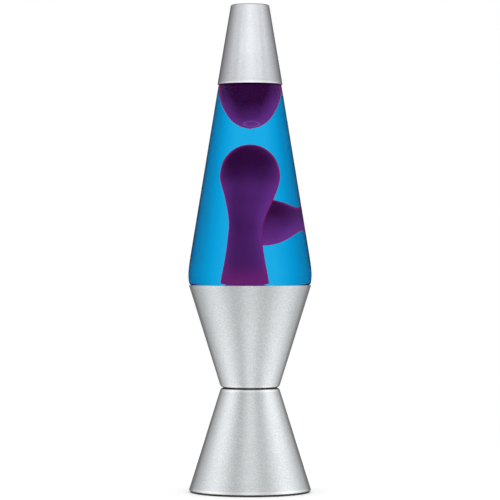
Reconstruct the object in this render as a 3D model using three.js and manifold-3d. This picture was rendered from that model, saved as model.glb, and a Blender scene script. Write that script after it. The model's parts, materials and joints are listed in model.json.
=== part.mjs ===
// A desk lava lamp: a silver hourglass base, a tapered glass globe of liquid and wax, and a silver cap.
// Millimetres, +Z up. The axis is the Z axis, z = 0 is the underside of the foot pad, the front faces -Y
// and the cord outlet faces +Y.

import * as THREE from "three";
import { mergeVertices } from "three/addons/utils/BufferGeometryUtils.js";
import Module from "manifold-3d";

const wasm = await Module();
wasm.setup();

// ---- driving dimensions ----

const HEIGHT = 368.3;
const GAP = 0.3;

// Base: two spun aluminium cones, floor to floor at the waist.
const PAD_THICKNESS = 1.0;
const PAD_RADIUS = 45.3;
const FOOT_Z = PAD_THICKNESS + GAP;
const FOOT_RADIUS = 46.2;
const WAIST_Z = 78.6;
const RIM_Z = 156.2;
const RIM_RADIUS = 46.25;
const BASE_SLOPE = 0.313;
const BASE_WALL = 1.0;
const WAIST_BEND = 2.2;
const WAIST_HOLE = 13.8;
const WAIST_TOP_Z = WAIST_Z + GAP;

// Globe: the glass bottle that stands in the upper cone.
const GLOBE_FLOOR_Z = 138;
const GLASS_WALL = 2.6;
const GLASS_SLOPE = 0.1643;
const GLASS_FLANK_LOW = new THREE.Vector2(44.6, 181.1);
const GLASS_FLANK_HIGH = new THREE.Vector2(25.2, 299.2);
const MOUTH_Z = 344;
const MOUTH_BORE = 8.5;
const FINISH_RADIUS = 13.3;
const INNER_FLOOR_Z = 142.5;
const LIQUID_LEVEL_Z = 315.5;

// Cap: a spun aluminium cone over the neck.
const CAP_RIM_Z = 307.9;
const CAP_RIM_RADIUS = 24.65;
const CAP_SLOPE = 0.1686;
const CAP_WALL = 0.6;
const CAP_BEND = 1.6;

// Wax and the coil under it.
const COIL_RING_RADIUS = 33.5;
const COIL_RADIUS = 2.6;
const COIL_WIRE = 0.5;
const COIL_TURNS = 24;
const WAX_LEAN = 3.0;
const SIDE_BLOB_CENTRE = new THREE.Vector3(6.4, 24.4, 201);
const SIDE_BLOB_HALF = new THREE.Vector3(15.6, 14.2, 17.8);

// Socket (E17 intermediate base) and its S11 bulb.
const SOCKET_BORE = 9.4;
const SOCKET_RADIUS = 13.3;
const SOCKET_TOP_Z = 86.4;
const SOCKET_BOTTOM_Z = 52;
const SOCKET_SHELL_Z = 68.5;
const SOCKET_FLANGE_RADIUS = 17.4;
const SOCKET_FLANGE_HEIGHT = 3.0;
const NUT_RADIUS = 16.8;
const NUT_LOBE = 0.45;
const NUT_LOBES = 16;
const NUT_HEIGHT = 3.6;
const WASHER_RADIUS = 18.6;
const WASHER_THICKNESS = 0.8;
const TERMINAL_X = 7;
const LEAD_RADIUS = 1.1;
const BULB_TOP_Z = 125.5;
const BULB_RADIUS = 17.45;
const BULB_TIP_Z = 66.8;
const BULB_WALL = 0.7;
const BULB_SHELL_Z = 70.4;
const STEM_TOP_Z = 99;
const SUPPORT_WIRE_RADIUS = 0.35;
const FILAMENT_RADIUS = 0.4;
const THREAD_PITCH = 2.82;
const THREAD_TURNS = 5;
const SOCKET_THREAD = { rib: 9.05, root: 8.85 };
const BULB_THREAD = { rib: 8.25, root: 7.75 };
const SCREW_SHEET = 0.3;

// Cord outlet in the lower cone's back.
const OUTLET_Z = 18;
const OUTLET_BORE = 4.0;
const OUTLET_NECK = 5.3;
const OUTLET_LIP = 7.4;
const OUTLET_DRILL_LENGTH = 10;

const ROUND = { shell: 54, glass: 48, middle: 32, small: 22, tiny: 12 };

// ---- materials ----

const metal = (color, roughness) => new THREE.MeshStandardMaterial({ color, roughness, metalness: 1 });
const plain = (color, roughness) => new THREE.MeshStandardMaterial({ color, roughness, metalness: 0 });
const clear = (color, opacity) =>
  new THREE.MeshStandardMaterial({ color, roughness: 0.05, metalness: 0, transparent: true, opacity });

const MATERIAL = {
  silver: metal(0xcfd3d6, 0.35),
  globeGlass: clear(0xe6f2f7, 0.3),
  liquid: clear(0x12a4dc, 0.75),
  wax: plain(0x4a2069, 0.55),
  steel: metal(0xb9bbbd, 0.35),
  brass: metal(0xc9a24b, 0.35),
  crown: metal(0xd6c27a, 0.3),
  liner: plain(0xe4e2d8, 0.6),
  phenolic: plain(0x1c1a19, 0.45),
  fibre: plain(0x7c3b28, 0.8),
  bulbGlass: clear(0xf3efe6, 0.35),
  bulbMetal: metal(0xc4c6c8, 0.3),
  tungsten: metal(0x5a5a5e, 0.4),
  leadRed: plain(0x9c2e25, 0.5),
  leadWhite: plain(0xd9d6cd, 0.5),
  crimp: plain(0x2e5c9e, 0.45),
  rubber: plain(0x232323, 0.7),
  cover: plain(0x1f1f20, 0.6),
  foam: plain(0x2b2827, 0.95),
};

// ---- helpers ----

const point = (r, z) => new THREE.Vector2(r, z);

// Unit normal to the left of the way from one outline point to the next.
function leftNormal(from, to) {
  const way = to.clone().sub(from).normalize();
  return point(-way.y, way.x);
}

// An open outline moved sideways by a distance, left of its run, with mitred corners.
// An end on the axis stays on the axis, and the end of a steep stretch is cut level.
function offset(outline, distance) {
  return outline.map((here, i) => {
    const onAxis = here.x < 1e-6;
    const mirrored = (p) => point(-p.x, p.y);
    let before = outline[i - 1];
    let after = outline[i + 1];
    if (!before) before = onAxis ? mirrored(after) : here.clone().multiplyScalar(2).sub(after);
    if (!after) after = onAxis ? mirrored(before) : here.clone().multiplyScalar(2).sub(before);
    const a = leftNormal(before, here);
    const b = leftNormal(here, after);
    const mitre = a.clone().add(b).multiplyScalar(distance / (1 + a.dot(b)));
    const moved = here.clone().add(mitre);
    const isEnd = i === 0 || i === outline.length - 1;
    const way = after.clone().sub(before).normalize();
    if (isEnd && !onAxis && Math.abs(way.y) > 0.5) {
      moved.addScaledVector(way, (here.y - moved.y) / way.y);
    }
    return moved;
  });
}

// The closed outline of a wall of even thickness, left of the given line.
const wallOf = (line, thickness) => [...line, ...offset(line, thickness).reverse()];

// Points of a path drawn by a callback.
function draw(divisions, pen) {
  const path = new THREE.Path();
  pen(path);
  return path.getPoints(divisions);
}

const smooth = (points, count) => new THREE.SplineCurve(points).getPoints(count);

// Revolves an outline about Z. The outline starts and ends on the axis, or is closed on itself here.
function revolve(outline, segments) {
  const ring = outline[0].x > 1e-6 ? [...outline, outline[0]] : [...outline];
  let area = 0;
  ring.forEach((p, i) => {
    const q = ring[(i + 1) % ring.length];
    area += p.x * q.y - q.x * p.y;
  });
  if (area < 0) ring.reverse();
  const geometry = new THREE.LatheGeometry(ring, segments);
  geometry.rotateX(Math.PI / 2);
  return weld(geometry);
}

// Keeps only positions, joins equal vertices and drops triangles without area.
function weld(geometry) {
  const bare = new THREE.BufferGeometry();
  bare.setAttribute("position", geometry.getAttribute("position").clone());
  bare.setIndex(geometry.index);
  const merged = mergeVertices(bare, 1e-3);
  const index = merged.index.array;
  const kept = [];
  for (let i = 0; i < index.length; i += 3) {
    const [a, b, c] = index.slice(i, i + 3);
    if (a !== b && b !== c && c !== a) kept.push(a, b, c);
  }
  merged.setIndex(kept);
  return merged;
}

function solidOf(geometry) {
  const welded = weld(geometry);
  return new wasm.Manifold(
    new wasm.Mesh({
      numProp: 3,
      vertProperties: new Float32Array(welded.attributes.position.array),
      triVerts: new Uint32Array(welded.index.array),
    }),
  );
}

function geometryOf(solid) {
  const made = solid.getMesh();
  const geometry = new THREE.BufferGeometry();
  geometry.setAttribute("position", new THREE.BufferAttribute(made.vertProperties, 3));
  geometry.setIndex(new THREE.BufferAttribute(made.triVerts, 1));
  return geometry;
}

const cut = (geometry, ...tools) =>
  geometryOf(tools.reduce((left, tool) => left.subtract(solidOf(tool)), solidOf(geometry)));

// A round rod along a smooth curve through the given points.
function rod(points, radius, sides, steps) {
  const section = new THREE.Shape();
  section.absarc(0, 0, radius, 0, 2 * Math.PI);
  const extrudePath = Array.isArray(points) ? new THREE.CatmullRomCurve3(points) : points;
  return new THREE.ExtrudeGeometry(section, { steps, curveSegments: sides / 2, extrudePath });
}

const at = (x, y, z) => new THREE.Vector3(x, y, z);

const lamp = new THREE.Group();

function add(name, geometry, material) {
  geometry.deleteAttribute("normal");
  geometry.deleteAttribute("uv");
  geometry.computeVertexNormals();
  const mesh = new THREE.Mesh(geometry, material);
  mesh.name = name;
  lamp.add(mesh);
  return mesh;
}

// ---- spun metal shells ----

// The outer line of a spun cone, from its floor's hole (or the axis) round the bend and along the flank
// to the rim.
function coneLine({ rimRadius, rimZ, floorZ, slope, hole, bend }) {
  const corner = point(rimRadius - slope * Math.abs(floorZ - rimZ), floorZ);
  const flank = point(slope, Math.sign(rimZ - floorZ)).normalize();
  return draw(3, (path) => {
    path.moveTo(hole, floorZ);
    path.lineTo(corner.x - bend, floorZ);
    path.quadraticCurveTo(corner.x, corner.y, corner.x + flank.x * bend, corner.y + flank.y * bend);
    path.lineTo(rimRadius, rimZ);
  });
}

function buildUpperCone() {
  const line = coneLine({
    rimRadius: RIM_RADIUS,
    rimZ: RIM_Z,
    floorZ: WAIST_TOP_Z,
    slope: BASE_SLOPE,
    hole: WAIST_HOLE,
    bend: WAIST_BEND,
  });
  add("upper_cone", revolve(wallOf(line, BASE_WALL), ROUND.shell), MATERIAL.silver);
}

// Turns a shape made along Z so that it lies along the lower cone's wall normal at the cord outlet.
function toOutlet(geometry) {
  const tilt = Math.atan(BASE_SLOPE);
  geometry.rotateX(tilt - Math.PI / 2);
  geometry.translate(0, FOOT_RADIUS - BASE_SLOPE * (OUTLET_Z - FOOT_Z), OUTLET_Z);
  return geometry;
}

function buildLowerCone() {
  const line = coneLine({
    rimRadius: FOOT_RADIUS,
    rimZ: FOOT_Z,
    floorZ: WAIST_Z,
    slope: BASE_SLOPE,
    hole: WAIST_HOLE,
    bend: WAIST_BEND,
  });
  const drillRadius = OUTLET_NECK + GAP;
  const drill = new THREE.CylinderGeometry(drillRadius, drillRadius, OUTLET_DRILL_LENGTH, ROUND.small);
  drill.rotateX(Math.PI / 2);
  const shell = revolve(wallOf(line, -BASE_WALL), ROUND.shell);
  add("lower_cone", cut(shell, toOutlet(drill)), MATERIAL.silver);
}

function buildCap() {
  const line = coneLine({
    rimRadius: CAP_RIM_RADIUS,
    rimZ: CAP_RIM_Z,
    floorZ: HEIGHT,
    slope: CAP_SLOPE,
    hole: 0,
    bend: CAP_BEND,
  });
  add("cap", revolve(wallOf(line, -CAP_WALL), ROUND.shell), MATERIAL.silver);
}

// ---- the globe and what it holds ----

const flankRadius = (z) => GLASS_FLANK_LOW.x - GLASS_SLOPE * (z - GLASS_FLANK_LOW.y);

// Outer line of the bottle from the middle of its pushed-up floor to the mouth.
function bottleOuterLine() {
  return draw(3, (path) => {
    path.moveTo(0, GLOBE_FLOOR_Z + 2);
    path.quadraticCurveTo(24, GLOBE_FLOOR_Z + 2, 30, GLOBE_FLOOR_Z);
    path.lineTo(35, GLOBE_FLOOR_Z);
    path.quadraticCurveTo(39.2, GLOBE_FLOOR_Z, 40.5, 142.7);
    path.lineTo(44.4, 155.2);
    path.bezierCurveTo(45.0, 157.1, 45.8, 156.7, 46.1, 157.8);
    path.bezierCurveTo(47.0, 163.0, 47.0, 166.5, GLASS_FLANK_LOW.x, GLASS_FLANK_LOW.y);
    path.lineTo(GLASS_FLANK_HIGH.x, GLASS_FLANK_HIGH.y);
    path.lineTo(23.7, CAP_RIM_Z);
    path.lineTo(21.8, 318);
    path.bezierCurveTo(20.0, 327, 12.5, 330, 12.5, 336);
    path.lineTo(12.5, 338.6);
    path.lineTo(FINISH_RADIUS, 339.6);
    path.lineTo(FINISH_RADIUS, 342.6);
    path.quadraticCurveTo(FINISH_RADIUS, MOUTH_Z, 11.6, MOUTH_Z);
  });
}

// Inner line of the bottle from the mouth down to the middle of its flat inner floor.
function bottleInnerLine() {
  const inset = GLASS_WALL * Math.hypot(1, GLASS_SLOPE);
  return draw(2, (path) => {
    path.moveTo(9.6, MOUTH_Z);
    path.quadraticCurveTo(MOUTH_BORE, MOUTH_Z, MOUTH_BORE, 342.6);
    path.lineTo(MOUTH_BORE, 337);
    path.bezierCurveTo(MOUTH_BORE, 328, 17.4, 326, 19.1, 317);
    path.lineTo(flankRadius(300) - inset, 300);
    path.lineTo(flankRadius(184) - inset, 184);
    path.bezierCurveTo(44.2, 167, 44.2, 162, 42.2, 154);
    path.lineTo(39.2, 146.5);
    path.quadraticCurveTo(37.8, INNER_FLOOR_Z, 34.5, INNER_FLOOR_Z);
    path.lineTo(0, INNER_FLOOR_Z);
  });
}

function buildGlobe() {
  const outline = [...bottleOuterLine(), ...bottleInnerLine()];
  add("globe_glass", revolve(outline, ROUND.glass), MATERIAL.globeGlass);
}

// Sideways lean of the wax column's thin waist.
function leanAt(z) {
  const risen = THREE.MathUtils.smoothstep(z, 143, 160);
  const fallen = THREE.MathUtils.smoothstep(z, 188, 228);
  return -WAX_LEAN * risen * (1 - fallen);
}

function columnLine() {
  const pool = [point(0, INNER_FLOOR_Z + GAP), point(28.4, INNER_FLOOR_Z + GAP)];
  const flank = smooth(
    [
      point(29.2, 144),
      point(26, 147.4),
      point(19.4, 151.4),
      point(15.3, 156),
      point(12.1, 169.8),
      point(9.9, 190),
      point(10.2, 203),
      point(14, 219.8),
      point(17, 233),
      point(17, 241),
      point(15, 249.3),
      point(10.6, 256.1),
      point(5.2, 259.9),
      point(0, 261),
    ],
    26,
  );
  return [...pool, ...flank];
}

function topBlobLine() {
  const flank = smooth(
    [
      point(0, 272.7),
      point(5.6, 274.6),
      point(10.4, 278.8),
      point(14.1, 285.6),
      point(17, 294.7),
      point(18, 303),
      point(17.5, 311),
      point(16.2, 315.4),
    ],
    14,
  );
  return [...flank, point(13, LIQUID_LEVEL_Z + 0.6), point(0, LIQUID_LEVEL_Z + 0.9)];
}

function columnGeometry(grown) {
  const geometry = revolve(offset(columnLine(), -grown), ROUND.small);
  const place = geometry.attributes.position;
  for (let i = 0; i < place.count; i += 1) place.setX(i, place.getX(i) + leanAt(place.getZ(i)));
  return geometry;
}

function sideBlobGeometry(grown) {
  const geometry = new THREE.SphereGeometry(1, ROUND.small, 14);
  geometry.rotateX(Math.PI / 2);
  geometry.scale(...SIDE_BLOB_HALF.clone().addScalar(grown));
  geometry.translate(...SIDE_BLOB_CENTRE);
  return geometry;
}

// The inside of the bottle up to the liquid's surface, less the gap to the glass.
function insideGeometry() {
  const below = bottleInnerLine().filter((p) => p.y < LIQUID_LEVEL_Z - 1);
  const surface = point(19.35, LIQUID_LEVEL_Z + GAP);
  const line = offset([point(0, LIQUID_LEVEL_Z + GAP), surface, ...below], -GAP);
  return revolve(line, ROUND.middle);
}

// The ring-shaped space on the bottle's floor that the coil lies in.
function coilSpace() {
  const reach = COIL_RADIUS + COIL_WIRE + GAP;
  const low = INNER_FLOOR_Z - 1;
  const high = INNER_FLOOR_Z + 2 * reach;
  return revolve(
    [
      point(COIL_RING_RADIUS - reach, low),
      point(COIL_RING_RADIUS + reach, low),
      point(COIL_RING_RADIUS + reach, high),
      point(COIL_RING_RADIUS - reach, high),
    ],
    ROUND.middle,
  );
}

function buildFilling() {
  const inside = insideGeometry();
  const well = revolve(offset(topBlobLine(), -GAP), ROUND.small);
  const liquid = cut(inside, columnGeometry(GAP), sideBlobGeometry(GAP), well, coilSpace());
  add("liquid", liquid, MATERIAL.liquid);
  add("wax_column", columnGeometry(0), MATERIAL.wax);
  const sideBlob = solidOf(sideBlobGeometry(0)).intersect(solidOf(inside));
  add("wax_side_blob", geometryOf(sideBlob), MATERIAL.wax);
  add("wax_top_blob", revolve(topBlobLine(), ROUND.small), MATERIAL.wax);
}

// A coil spring bent into a nearly closed ring.
class RingCoil extends THREE.Curve {
  getPoint(t, target = new THREE.Vector3()) {
    const round = THREE.MathUtils.degToRad(4 + 352 * t);
    const turn = 2 * Math.PI * COIL_TURNS * t;
    const radius = COIL_RING_RADIUS + COIL_RADIUS * Math.cos(turn);
    const z = INNER_FLOOR_Z + GAP + COIL_WIRE + COIL_RADIUS * (1 + Math.sin(turn));
    return target.set(radius * Math.cos(round), radius * Math.sin(round), z);
  }
}

function buildCoil() {
  const curve = new RingCoil();
  curve.arcLengthDivisions = 60 * COIL_TURNS;
  add("heating_coil", rod(curve, COIL_WIRE, 4, 7 * COIL_TURNS), MATERIAL.steel);
}

// ---- closure ----

const CROWN_FLUTES = 21;
const CROWN_TOP_Z = MOUTH_Z + 2.1;
const CROWN_SHEET = 0.45;
const FLUTE_DEPTH = 0.034;
const LINER_RADIUS = 12.6;
const LINER_THICKNESS = 0.8;

function buildClosure() {
  const linerZ = MOUTH_Z + GAP;
  const linerTopZ = linerZ + LINER_THICKNESS;
  const liner = [
    point(0, linerZ),
    point(LINER_RADIUS, linerZ),
    point(LINER_RADIUS, linerTopZ),
    point(0, linerTopZ),
  ];
  add("crown_liner", revolve(liner, ROUND.small), MATERIAL.liner);

  const line = draw(2, (path) => {
    path.moveTo(0, CROWN_TOP_Z);
    path.lineTo(12.4, CROWN_TOP_Z);
    path.quadraticCurveTo(14.2, CROWN_TOP_Z, 14.5, CROWN_TOP_Z - 1.8);
    path.lineTo(14.9, CROWN_TOP_Z - 4.2);
    path.lineTo(15.5, CROWN_TOP_Z - 6.2);
  });
  const crown = revolve(wallOf(line, -CROWN_SHEET), CROWN_FLUTES * 4);
  const place = crown.attributes.position;
  for (let i = 0; i < place.count; i += 1) {
    const angle = Math.atan2(place.getY(i), place.getX(i));
    const depth = THREE.MathUtils.smoothstep(CROWN_TOP_Z - place.getZ(i), 1.5, 6);
    const factor = 1 + FLUTE_DEPTH * depth * Math.cos(CROWN_FLUTES * angle);
    place.setX(i, place.getX(i) * factor);
    place.setY(i, place.getY(i) * factor);
  }
  add("crown_closure", crown, MATERIAL.crown);
}

// ---- socket ----

const RING_Z = WAIST_TOP_Z + BASE_WALL + GAP;
const RING_BORE = SOCKET_RADIUS + GAP + 0.05;

function buildSocket() {
  const flangeTop = WAIST_Z - BASE_WALL - GAP;
  const floor = SOCKET_BOTTOM_Z + 5;
  const body = [
    point(0, SOCKET_BOTTOM_Z),
    point(SOCKET_RADIUS - 1.5, SOCKET_BOTTOM_Z),
    point(SOCKET_RADIUS, SOCKET_BOTTOM_Z + 1.5),
    point(SOCKET_RADIUS, flangeTop - SOCKET_FLANGE_HEIGHT - 0.6),
    point(SOCKET_FLANGE_RADIUS, flangeTop - SOCKET_FLANGE_HEIGHT),
    point(SOCKET_FLANGE_RADIUS, flangeTop),
    point(SOCKET_RADIUS, flangeTop),
    point(SOCKET_RADIUS, SOCKET_TOP_Z - 0.8),
    point(SOCKET_RADIUS - 0.8, SOCKET_TOP_Z),
    point(SOCKET_BORE, SOCKET_TOP_Z),
    point(SOCKET_BORE, floor),
    point(0, floor),
  ];
  add("socket_body", revolve(body, ROUND.middle), MATERIAL.phenolic);

  const washer = [
    point(RING_BORE, RING_Z),
    point(WASHER_RADIUS, RING_Z),
    point(WASHER_RADIUS, RING_Z + WASHER_THICKNESS),
    point(RING_BORE, RING_Z + WASHER_THICKNESS),
  ];
  add("socket_washer", revolve(washer, ROUND.middle), MATERIAL.fibre);

  const rim = Array.from({ length: NUT_LOBES * 6 }, (_, i) => {
    const angle = (2 * Math.PI * i) / (NUT_LOBES * 6);
    const radius = NUT_RADIUS + NUT_LOBE * Math.cos(NUT_LOBES * angle);
    return point(radius * Math.cos(angle), radius * Math.sin(angle));
  });
  const nut = new THREE.Shape(rim);
  const bore = new THREE.Path();
  bore.absarc(0, 0, RING_BORE, 0, 2 * Math.PI);
  nut.holes.push(bore);
  const nutSettings = { depth: NUT_HEIGHT, bevelEnabled: false, curveSegments: 20 };
  const nutGeometry = new THREE.ExtrudeGeometry(nut, nutSettings);
  nutGeometry.translate(0, 0, RING_Z + WASHER_THICKNESS + GAP);
  add("socket_ring_nut", weld(nutGeometry), MATERIAL.phenolic);

  add("socket_shell", revolve(rolledThread(SOCKET_THREAD, SOCKET_SHELL_Z), ROUND.small), MATERIAL.brass);
}

// A rolled screw shell's wall: ribs of the thread's pitch, then a plain collar on top.
function rolledThread({ rib, root }, startZ) {
  const line = [];
  for (let i = 0; i <= 2 * THREAD_TURNS; i += 1) {
    const radius = i % 2 ? root : rib;
    line.push(point(radius, startZ + (THREAD_PITCH * i) / 2));
  }
  line.push(point(rib, startZ + THREAD_PITCH * (THREAD_TURNS + 0.5)));
  return wallOf(line, SCREW_SHEET);
}

function buildSocketContact() {
  const strip = new THREE.Shape();
  const floor = SOCKET_BOTTOM_Z + 5 + GAP;
  const top = BULB_TIP_Z - GAP;
  strip.moveTo(-6, floor);
  strip.lineTo(3, floor);
  strip.lineTo(3, floor + 0.5);
  strip.lineTo(-4.6, floor + 0.5);
  strip.lineTo(0.2, top - 0.5);
  strip.lineTo(3.4, top - 0.9);
  strip.lineTo(3.5, top - 0.4);
  strip.lineTo(-0.2, top);
  strip.lineTo(-6, floor + 0.7);
  const geometry = new THREE.ExtrudeGeometry(strip, { depth: 5, bevelEnabled: false });
  geometry.translate(0, 0, -2.5);
  geometry.rotateX(Math.PI / 2);
  add("socket_centre_contact", weld(geometry), MATERIAL.brass);
}

// Terminals, leads and the crimps that the supply cord joins.
function buildWiring() {
  const sides = [
    { name: "live", x: TERMINAL_X, material: MATERIAL.leadRed },
    { name: "neutral", x: -TERMINAL_X, material: MATERIAL.leadWhite },
  ];
  for (const { name, x, material } of sides) {
    const top = SOCKET_BOTTOM_Z - GAP;
    const screw = [
      point(0, top),
      point(2, top),
      point(2, top - 1.6),
      point(3.1, top - 1.6),
      point(3.1, top - 3.2),
      point(2.6, top - 3.9),
      point(0, top - 3.9),
    ];
    const terminal = revolve(screw, ROUND.tiny);
    terminal.translate(x, 0, 0);
    add("terminal_" + name, terminal, MATERIAL.brass);

    const start = at(x, 0, top - 3.9 - GAP);
    const end = at(x, 20, 30.3);
    const way = [start, at(x, 0, 40), at(x * 1.1, 4, 33), at(x * 1.05, 12, 30.6), end];
    add("lead_" + name, weld(rod(way, LEAD_RADIUS, 8, 16)), material);

    const crimp = [
      point(0, 0),
      point(1.9, 0),
      point(2.5, 0.8),
      point(2.5, 4),
      point(2.1, 5),
      point(2.1, 7),
      point(2.5, 8),
      point(2.5, 11.2),
      point(1.9, 12),
      point(0, 12),
    ];
    const crimpGeometry = revolve(crimp, ROUND.tiny);
    crimpGeometry.rotateX(-Math.PI / 2);
    crimpGeometry.translate(x, end.y + GAP, end.z);
    add("crimp_" + name, crimpGeometry, MATERIAL.crimp);
  }
}

// ---- bulb ----

function buildBulb() {
  const shell = rolledThread(BULB_THREAD, BULB_SHELL_Z);
  const waist = [point(5.95, BULB_SHELL_Z - 1.2), point(6.6, BULB_SHELL_Z - 1.2)];
  const outer = [...waist, ...shell.slice(0, shell.length / 2)];
  add("bulb_screw_shell", revolve(wallOf(outer, SCREW_SHEET), ROUND.small), MATERIAL.bulbMetal);

  const insulator = [
    point(0, BULB_TIP_Z + 0.8),
    point(3, BULB_TIP_Z + 0.8),
    point(5.55, BULB_TIP_Z + 2.3),
    point(5.55, BULB_TIP_Z + 4),
    point(0, BULB_TIP_Z + 4),
  ];
  add("bulb_insulator", revolve(insulator, ROUND.small), MATERIAL.phenolic);

  const tip = [
    point(0, BULB_TIP_Z),
    point(1.8, BULB_TIP_Z),
    point(2.3, BULB_TIP_Z + 0.5),
    point(0, BULB_TIP_Z + 0.5),
  ];
  add("bulb_tip_contact", revolve(tip, ROUND.tiny), MATERIAL.brass);

  const glass = draw(4, (path) => {
    path.moveTo(7, 79);
    path.lineTo(7, 85);
    path.bezierCurveTo(7.4, 88.5, 13.6, 97, 15.9, 104);
    path.bezierCurveTo(BULB_RADIUS + 1, 110.5, BULB_RADIUS + 1.4, 117.5, 12, 122.6);
    path.bezierCurveTo(9.4, 124.6, 5, BULB_TOP_Z, 0, BULB_TOP_Z);
  });
  const envelope = [...glass, ...offset(glass, BULB_WALL).reverse()];
  add("bulb_glass", revolve(openEnd(envelope), ROUND.small), MATERIAL.bulbGlass);

  const stem = [
    point(0, 80),
    point(5.4, 80),
    point(5, 84),
    point(2.2, 90),
    point(1.5, STEM_TOP_Z - 1),
    point(1, STEM_TOP_Z),
    point(0, STEM_TOP_Z),
  ];
  add("bulb_stem", revolve(stem, ROUND.tiny), MATERIAL.bulbGlass);

  for (const [name, side] of [["a", 1], ["b", -1]]) {
    const way = [at(side * 2.2, 0, 93), at(side * 3.2, 0, 97), at(side * 6, 0, 103), at(side * 7, 0, 108)];
    add("bulb_support_wire_" + name, weld(rod(way, SUPPORT_WIRE_RADIUS, 6, 8)), MATERIAL.tungsten);
  }
  const span = [at(-7, 0, 108.9), at(-3.5, 0, 110.6), at(0, 0, 111.2), at(3.5, 0, 110.6), at(7, 0, 108.9)];
  add("bulb_filament", weld(rod(span, FILAMENT_RADIUS, 6, 12)), MATERIAL.tungsten);
}

// Starts an outline whose middle touches the axis at its axis point, so that it runs from axis to axis.
function openEnd(outline) {
  const first = outline.findIndex((p) => p.x < 1e-6);
  return [...outline.slice(first + 1), ...outline.slice(0, first + 1)];
}

// ---- cord outlet, bottom cover and foot ----

function buildOutlet() {
  const outside = GAP + 0.1;
  const inside = -BASE_WALL - 1.15;
  const grommet = [
    point(OUTLET_BORE, inside - 1.6),
    point(OUTLET_LIP - 0.6, inside - 1.6),
    point(OUTLET_LIP, inside - 1),
    point(OUTLET_LIP, inside),
    point(OUTLET_NECK, inside),
    point(OUTLET_NECK, outside),
    point(OUTLET_LIP, outside),
    point(OUTLET_LIP, outside + 1),
    point(OUTLET_LIP - 0.8, outside + 1.8),
    point(OUTLET_BORE + 0.5, outside + 1.8),
    point(OUTLET_BORE, outside + 1.3),
  ];
  add("cord_grommet", toOutlet(revolve(grommet, ROUND.small)), MATERIAL.rubber);
}

function buildFoot() {
  const innerAt = (z) => FOOT_RADIUS - BASE_SLOPE * (z - FOOT_Z) - BASE_WALL * Math.hypot(1, BASE_SLOPE);
  const play = GAP + 0.1;
  const lipZ = 8.5;
  const cover = [
    point(0, FOOT_Z),
    point(innerAt(FOOT_Z) - play, FOOT_Z),
    point(innerAt(lipZ) - play, lipZ),
    point(innerAt(lipZ) - play - 1.3, lipZ),
    point(innerAt(FOOT_Z + 1.6) - play - 1.4, FOOT_Z + 1.6),
    point(0, FOOT_Z + 1.6),
  ];
  add("bottom_cover", revolve(cover, ROUND.shell), MATERIAL.cover);

  const pad = [point(0, 0), point(PAD_RADIUS, 0), point(PAD_RADIUS, PAD_THICKNESS), point(0, PAD_THICKNESS)];
  add("foot_pad", revolve(pad, ROUND.shell), MATERIAL.foam);
}

buildFoot();
buildLowerCone();
buildUpperCone();
buildOutlet();
buildSocket();
buildSocketContact();
buildWiring();
buildBulb();
buildGlobe();
buildCoil();
buildFilling();
buildClosure();
buildCap();

export default lamp;
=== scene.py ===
import json
import math

import bmesh
import bpy
from mathutils import Matrix, Vector

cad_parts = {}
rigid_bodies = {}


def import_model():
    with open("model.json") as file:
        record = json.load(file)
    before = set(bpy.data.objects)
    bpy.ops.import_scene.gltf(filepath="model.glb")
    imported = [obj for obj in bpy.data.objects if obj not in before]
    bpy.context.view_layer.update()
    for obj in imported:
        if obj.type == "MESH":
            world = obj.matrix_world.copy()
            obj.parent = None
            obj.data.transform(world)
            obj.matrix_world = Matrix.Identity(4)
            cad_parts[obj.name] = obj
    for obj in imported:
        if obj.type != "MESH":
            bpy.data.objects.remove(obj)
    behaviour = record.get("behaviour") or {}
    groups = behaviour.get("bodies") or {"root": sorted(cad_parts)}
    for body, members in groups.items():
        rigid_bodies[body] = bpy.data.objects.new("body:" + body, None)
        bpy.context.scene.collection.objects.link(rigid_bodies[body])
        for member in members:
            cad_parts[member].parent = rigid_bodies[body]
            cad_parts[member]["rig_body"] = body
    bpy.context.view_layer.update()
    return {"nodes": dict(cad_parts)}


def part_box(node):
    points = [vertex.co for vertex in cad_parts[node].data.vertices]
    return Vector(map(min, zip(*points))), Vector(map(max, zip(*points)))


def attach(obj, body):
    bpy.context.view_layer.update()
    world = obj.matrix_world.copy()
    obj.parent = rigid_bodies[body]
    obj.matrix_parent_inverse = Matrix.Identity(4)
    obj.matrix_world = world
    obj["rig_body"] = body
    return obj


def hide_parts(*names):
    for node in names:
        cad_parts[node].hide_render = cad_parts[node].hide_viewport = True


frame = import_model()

MM = 0.001

# The looks of a desk lava lamp. Outlines are (radius, height) in millimetres about the lamp's axis. Most
# finished meshes are fitted to the box of the CAD node that they stand for.

CAP_RIM_Z = 307.9
CAP_TOP_Z = 368.3
CAP_SLOPE = 0.1686
INNER_FLOOR_Z = 142.5
LIQUID_LEVEL_Z = 315.5
GLASS_WALL = 2.6
GLASS_SLOPE = 0.1643
BASE_SLOPE = 0.313
THREAD_PITCH = 2.82
PAD_THICKNESS = 1

# A radius below this lies on the axis.
ON_AXIS = 1e-6
# Corners that turn more than this are rounded, with arcs that take up no more than this share of a side.
SHARP_TURN = math.radians(40)
ARC_SHARE = 0.42
ARC_STEPS = 4
# Smooth shading breaks at edges sharper than this.
SHARP_EDGE = math.radians(50)
# A piece this close to round is scaled as round, and one this close to the axis, in millimetres, is centred.
ROUND_WITHIN = 0.02
CENTRED_WITHIN = 0.3
# The most surfaces that light may cross in the globe.
GLASS_CROSSINGS = 36


# ---- outlines ----

def draw(start, *moves, steps=10):
    """An outline drawn by moves: 2 numbers make a line, 4 a quadratic and 6 a cubic Bezier curve."""
    outline = [start]
    for move in moves:
        controls = [outline[-1], *zip(move[::2], move[1::2])]
        count = 1 if len(controls) == 2 else steps
        for i in range(1, count + 1):
            level = controls
            while len(level) > 1:
                level = [between(p, q, i / count) for p, q in zip(level, level[1:])]
            outline.append(level[0])
    return outline


def between(p, q, share):
    return tuple(a + (b - a) * share for a, b in zip(p, q))


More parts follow.
